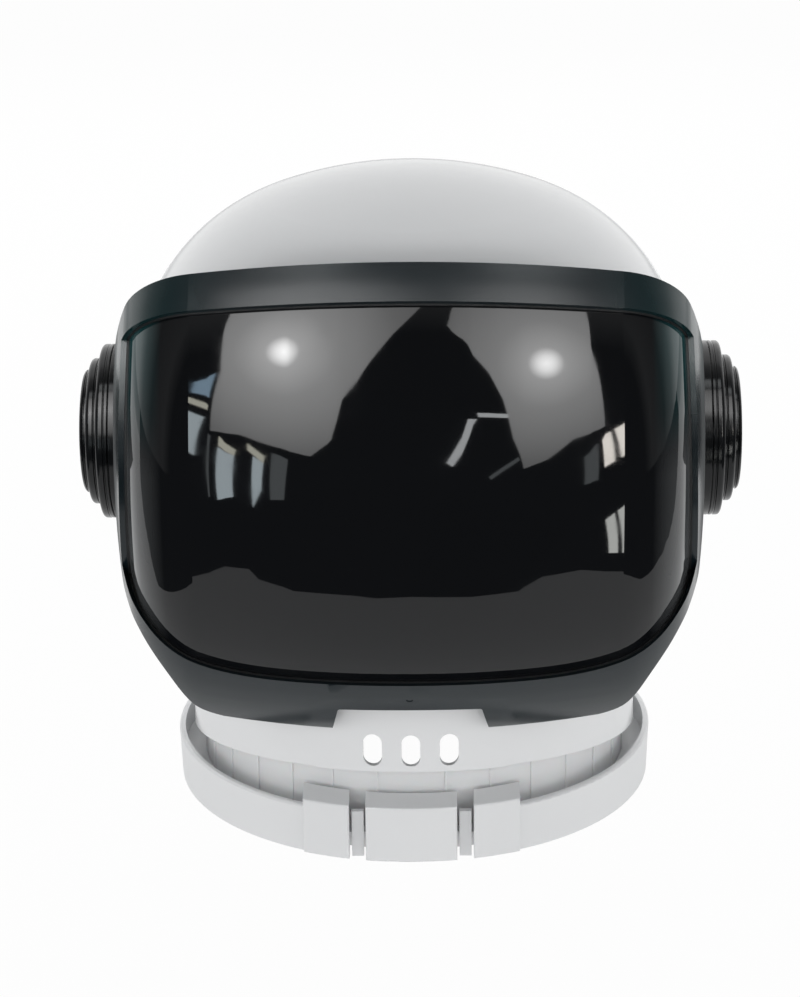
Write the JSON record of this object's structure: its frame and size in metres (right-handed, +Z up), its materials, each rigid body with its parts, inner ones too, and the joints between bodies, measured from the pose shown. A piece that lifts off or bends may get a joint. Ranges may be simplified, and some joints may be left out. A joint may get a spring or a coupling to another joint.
{
  "type": "astronaut helmet",
  "caption": "White display helmet with a round dome shell, a swing-up smoked visor in a blue-black frame, stepped black side knobs, chin vents and a neck ring.",
  "frame": {"origin": "centre of the neck opening at the foot of the ring", "axes": "+Z up, the face looks along -Y, +X to the left of the wearer along the visor's pivot axis"},
  "size_m": [0.3252, 0.2968, 0.3135],
  "materials": {
    "shell_white": "gloss, smooth moulded",
    "band_white": "gloss, fine upright ribs",
    "frame_blue_black": "satin",
    "lens_smoke": "high gloss, dark smoke tint",
    "gasket_rubber": "satin",
    "knob_black": "gloss",
    "screw_steel": "bright zinc plated",
    "pivot_steel": "satin",
    "bush_brass": "turned",
    "washer_nylon": "satin, natural nylon",
    "pad_cloth": "knitted cloth over foam"
  },
  "bodies": {
    "shell": {"front_shell": "shell_white", "rear_shell": "shell_white", "neck_ring": "shell_white", "neck_band": "band_white", "seam_screws": "screw_steel", "collar_screws": "screw_steel", "ring_screws": "screw_steel", "crown_pad": "pad_cloth", "rear_pad": "pad_cloth", "left_cheek_pad": "pad_cloth", "left_pivot_bolt": "pivot_steel", "left_pivot_bush": "bush_brass", "left_friction_washer": "washer_nylon", "left_pivot_washer": "pivot_steel", "left_lock_nut": "pivot_steel", "right_cheek_pad": "pad_cloth", "right_pivot_bolt": "pivot_steel", "right_pivot_bush": "bush_brass", "right_friction_washer": "washer_nylon", "right_pivot_washer": "pivot_steel", "right_lock_nut": "pivot_steel"},
    "visor": {"visor_frame": "frame_blue_black", "visor_lens": "lens_smoke", "lens_gasket": "gasket_rubber", "lens_screws": "screw_steel", "left_knob_base": "knob_black", "left_knob_cap": "knob_black", "left_knob_screws": "screw_steel", "right_knob_base": "knob_black", "right_knob_cap": "knob_black", "right_knob_screws": "screw_steel"}
  },
  "joints": [
    {"name": "visor_tilt", "type": "hinge", "parent": "shell", "child": "visor", "pos_m": [0, -0.005, 0.1815], "axis": [-1, 0, 0], "range_deg": [0, 80]}
  ]
}
